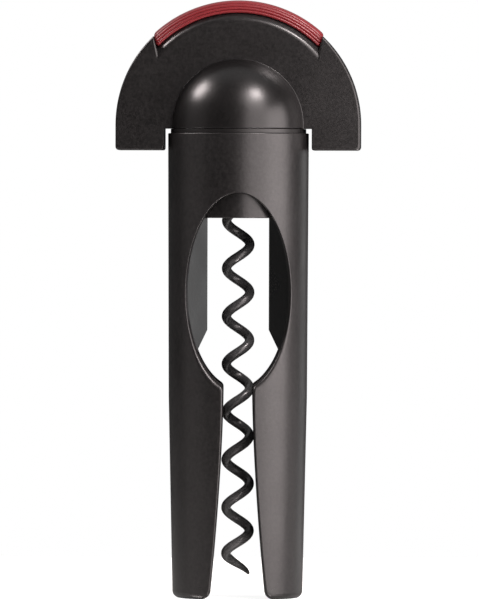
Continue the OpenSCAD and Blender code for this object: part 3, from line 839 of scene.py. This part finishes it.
def makeGripInsert():
    g, h = grip, handle
    top, foot = gripSection()
    section = top + foot
    slope = math.radians(h["recessSlope"])
    lipR = section[0][0]
    tall = g["centreR"] + g["sectionR"] - lipR
    rowCount = g["arcRows"] + 2 * g["endRows"]

    def sectionPoint(column, shrink):  # the section, drawn in where the strip's ends are rounded
        r, y = section[column]
        if r > lipR - near:
            drawnIn = (g["endLower"] + g["endOuter"]) * shrink / tall
            r = lipR + g["endLower"] * shrink + (r - lipR) * (1 - drawnIn)
        return (r, y * (1 - g["endSide"] * shrink / g["sectionR"]))

    def place(row, column):
        column = column % len(section)
        fromEnd = min(row, rowCount - row, g["endRows"])
        turn = math.pi / 2 * fromEnd / g["endRows"]
        back, shrink = g["endBack"] * (1 - math.cos(turn)), 1 - math.sin(turn)
        if column >= len(top):
            back = 0  # the foot fills the recess to its end, so that no light comes through there
        share = min(1, max(-1, -1 + 2 * (row - g["endRows"]) / g["arcRows"]))
        r, y = sectionPoint(column, shrink)
        angle = (recessEnd(r) - (g["endGap"] + back) / r / math.cos(slope)) * share
        return (r * math.sin(angle), y, r * math.cos(angle))

    strip = gridSheet("gripStrip", rowCount, len(section), place)
    caps = [flatFace("gripCap", [place(row, c) for c in range(len(section))]) for row in (0, rowCount)]
    strip = joinUp([strip] + caps, "gripInsert")
    toHandle(strip)
    smoothFaces(strip, 60)
    finishPiece(strip, "handle", gripRubber, "grip_insert")


makeGripInsert()


# Spindle: a turned shank with a hexagonal head that the shells hold

spindleLow, spindleHigh = boxMm("spindle")
spindle = {
    "shankR": 5, "shankSides": 96, "lowZ": spindleLow.z, "chamfer": 0.6,
    "headLowZ": 136.9, "headHighZ": spindleHigh.z, "headAcross": 13, "headSides": 6, "headEdge": 0.4,
    "headTurn": 30,            # sets two of the flats parallel to the plate
    "shankInHead": 2,
}


def barPiece(name, sides, radius, lowZ, highZ, turn, edge):  # a round or six-sided bar with broken edges
    deselectAll()
    bpy.ops.mesh.primitive_cylinder_add(
        vertices=sides, radius=radius * mm, depth=(highZ - lowZ) * mm,
        location=(0, 0, (lowZ + highZ) / 2 * mm), rotation=(0, 0, math.radians(turn)))
    bar = bpy.context.active_object
    bar.name = name
    bpy.ops.object.transform_apply(location=True, rotation=True, scale=True)
    applyModifier(bar, "BEVEL", width=edge * mm, segments=2, limit_method="ANGLE",
                  angle_limit=math.radians(45))
    return bar


def makeSpindle():
    s = spindle
    shankTop = s["headLowZ"] + s["shankInHead"]
    shank = barPiece("turnedSpindle", s["shankSides"], s["shankR"], s["lowZ"], shankTop, 0, s["chamfer"])
    cornerR = s["headAcross"] / 2 / math.cos(math.pi / s["headSides"])
    head = barPiece("spindleHead", s["headSides"], cornerR, s["headLowZ"], s["headHighZ"],
                    handle["turn"] + s["headTurn"], s["headEdge"])
    applyModifier(shank, "BOOLEAN", operation="UNION", solver="EXACT", object=head)
    bpy.data.objects.remove(head)
    smoothFaces(shank, 30)
    finishPiece(shank, "handle", spindleSteel, "spindle")


makeSpindle()


# Worm: one coated wire, wound right-handed and ground to a point

worm = {
    "coilR": 3.3, "wireR": 1.35, "pitch": 13.55, "tipZ": 6.6, "phaseZ": 107.6, "phase": 200, "topZ": 138,
    "drawnInFromZ": 108.95, "drawnInToZ": 115.25, "pointTurns": 0.36, "pointShare": 0.1,
    "perTurn": 48, "roundness": 8,
    "tipLag": 24, "tipLagFromZ": 22,   # the last turn is drawn out a little towards the point
}


def makeWorm():
    w = worm
    points = []
    step = w["pitch"] / w["perTurn"]
    count = math.floor((w["topZ"] - w["tipZ"]) / step)
    for i in range(count + 1):
        z = w["tipZ"] + i * step
        inward = min(1, max(0, (w["drawnInToZ"] - z) / (w["drawnInToZ"] - w["drawnInFromZ"])))
        r = w["coilR"] * inward * inward * (3 - 2 * inward)
        lag = w["tipLag"] * max(0, (w["tipLagFromZ"] - z) / (w["tipLagFromZ"] - w["tipZ"]))
        turn = math.radians(w["phase"] - lag) + 2 * math.pi * (z - w["phaseZ"]) / w["pitch"]
        fromTip = (z - w["tipZ"]) / (w["pointTurns"] * w["pitch"])
        thick = min(1, mix(w["pointShare"], 1, math.sqrt(fromTip)))
        points.append(((r * math.cos(turn), r * math.sin(turn), z), thick))
    curve = bpy.data.curves.new("worm", "CURVE")
    curve.dimensions = "3D"
    spline = curve.splines.new("POLY")
    spline.points.add(len(points) - 1)
    for target, (place, thick) in zip(spline.points, points):
        target.co = (*(Vector(place) * mm), 1)
        target.radius = thick
    curve.bevel_depth = w["wireR"] * mm
    curve.bevel_resolution = w["roundness"]
    curve.use_fill_caps = True
    wire = bpy.data.objects.new("worm", curve)
    scene.collection.objects.link(wire)
    activate(wire)
    bpy.ops.object.convert(target="MESH")
    wire = joinUp([bpy.context.active_object], "wormWire")
    smoothFaces(wire, 60)
    finishPiece(wire, "handle", wormCoating, "worm")


makeWorm()


# Pegs keep their CAD shape and take a material

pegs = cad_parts["shell_pegs"]
pegs.data.materials.clear()
pegs.data.materials.append(pegAcetal)


# Floor, background and lights

studio = {
    "floorSize": 560, "floorColour": "#c4c3c0",
    "floorGlow": 0.92,         # the floor's own light as the camera sees it, which makes it nearly white
    "floorGloss": 0.4,         # the same as the part's gloss sees it
    "floorPolish": 0.55, "polishRoughness": 0.05,   # how far the part's gloss sees the floor as a mirror
    "ambient": 0.06,
    "backdrops": [  # direction, cosines where it begins and is full, and level, all seen in gloss only
        ((0.55, 0.817, 0.17), 0.8, 0.97, 0.08),
        ((0.694, 0.719, 0.03), 0.978, 0.993, 1.0),
        ((0, 0.5, 0.866), 0.6, 0.85, 0.5),
    ],
    "lampColour": "#fff4f3", "lampAimZ": 90,
    "lamps": {  # direction from the front in degrees, height in degrees, distance, width, height and power
        "rightSoftbox": (68, 0, 450, 300, 500, 2.5),
        "frontPanel": (31, 0, 280, 204, 311, 0.66),
        "keyLamp": (41, 51.5, 1000, 200, 200, 7.4),
        "keyHalo": (33, 41, 900, 480, 480, 3.2),
        "leftLamp": (-97, 44.3, 1000, 290, 290, 6.4),
        "leftCard": (-78, 0, 900, 700, 900, 0.7),
        "lowCard": (105, -7.6, 450, 200, 60, 0.048),
    },
}


def seenDirectly(tree, rays):  # 1 where the camera looks straight at a surface or through a clear one
    rayKinds = [(0, rays.outputs["Is Camera Ray"]), (1, rays.outputs["Is Transmission Ray"])]
    return addNode(tree, "ShaderNodeMath", rayKinds, operation="MAXIMUM").outputs[0]


def makeFloor():
    deselectAll()
    bpy.ops.mesh.primitive_plane_add(size=studio["floorSize"] * mm, location=(0, 0, 0))
    floor = bpy.context.active_object
    floor.name = "paleFloor"
    material, tree = newMaterial("palePaper")
    rays = addNode(tree, "ShaderNodeLightPath")
    glossy = rays.outputs["Is Glossy Ray"]
    paper = addNode(tree, "ShaderNodeBsdfDiffuse", [("Color", linear(studio["floorColour"]))])
    level = addNode(tree, "ShaderNodeMath", [
        (0, seenDirectly(tree, rays)), (1, studio["floorGlow"])], operation="MULTIPLY")
    level = addNode(tree, "ShaderNodeMath", [
        (0, glossy), (1, studio["floorGloss"]), (2, level.outputs[0])], operation="MULTIPLY_ADD")
    glow = addNode(tree, "ShaderNodeEmission", [("Strength", level.outputs[0])])
    both = addNode(tree, "ShaderNodeAddShader", [(0, paper.outputs[0]), (1, glow.outputs[0])])
    polish = addNode(tree, "ShaderNodeBsdfGlossy", [("Roughness", studio["polishRoughness"])])
    share = addNode(tree, "ShaderNodeMath", [(0, glossy), (1, studio["floorPolish"])], operation="MULTIPLY")
    surface = addNode(tree, "ShaderNodeMixShader", [
        (0, share.outputs[0]), (1, both.outputs[0]), (2, polish.outputs[0])])
    addNode(tree, "ShaderNodeOutputMaterial", [("Surface", surface.outputs[0])])
    floor.data.materials.append(material)


def makeWorld():  # white where the camera sees it, a few pale patches in gloss, and dim for all other light
    world = bpy.data.worlds.new("whiteStudio")
    world.use_nodes = True
    scene.world = world
    tree = world.node_tree
    tree.nodes.clear()
    rays = addNode(tree, "ShaderNodeLightPath")
    direction = addNode(tree, "ShaderNodeTexCoord").outputs["Generated"]
    patches = studio["ambient"]
    for toward, begins, full, strength in studio["backdrops"]:
        facing = addNode(tree, "ShaderNodeVectorMath", [
            (0, direction), (1, toward)], operation="DOT_PRODUCT")
        patch = addNode(tree, "ShaderNodeMapRange", [
            ("Value", facing.outputs["Value"]), ("From Min", begins), ("From Max", full),
            ("To Max", strength)])
        patches = addNode(tree, "ShaderNodeMath", [
            (0, patch.outputs[0]), (1, patches)], operation="MAXIMUM").outputs[0]
    gloss = addNode(tree, "ShaderNodeMath", [
        (0, rays.outputs["Is Glossy Ray"]), (1, patches)], operation="MULTIPLY")
    seen = addNode(tree, "ShaderNodeMath", [
        (0, seenDirectly(tree, rays)), (1, gloss.outputs[0])], operation="MAXIMUM")
    level = addNode(tree, "ShaderNodeMath", [
        (0, seen.outputs[0]), (1, studio["ambient"])], operation="MAXIMUM")
    sky = addNode(tree, "ShaderNodeBackground", [("Color", (1, 1, 1, 1)), ("Strength", level.outputs[0])])
    addNode(tree, "ShaderNodeOutputWorld", [("Surface", sky.outputs[0])])


def makeLamps():
    aim = Vector((0, 0, studio["lampAimZ"])) * mm
    for name, (azimuth, height, distance, wide, tall, power) in studio["lamps"].items():
        a, e = math.radians(azimuth), math.radians(height)
        away = Vector((math.sin(a) * math.cos(e), -math.cos(a) * math.cos(e), math.sin(e)))
        deselectAll()
        bpy.ops.object.light_add(type="AREA", location=aim + away * distance * mm)
        lamp = bpy.context.active_object
        lamp.name = name
        lamp.rotation_euler = (-away).to_track_quat("-Z", "Y").to_euler()
        lamp.data.shape = "RECTANGLE"
        lamp.data.size, lamp.data.size_y = wide * mm, tall * mm
        lamp.data.energy = power
        lamp.data.color = linear(studio["lampColour"])[:3]
        lamp.visible_camera = False


makeFloor()
makeWorld()
makeLamps()
print("studio set")
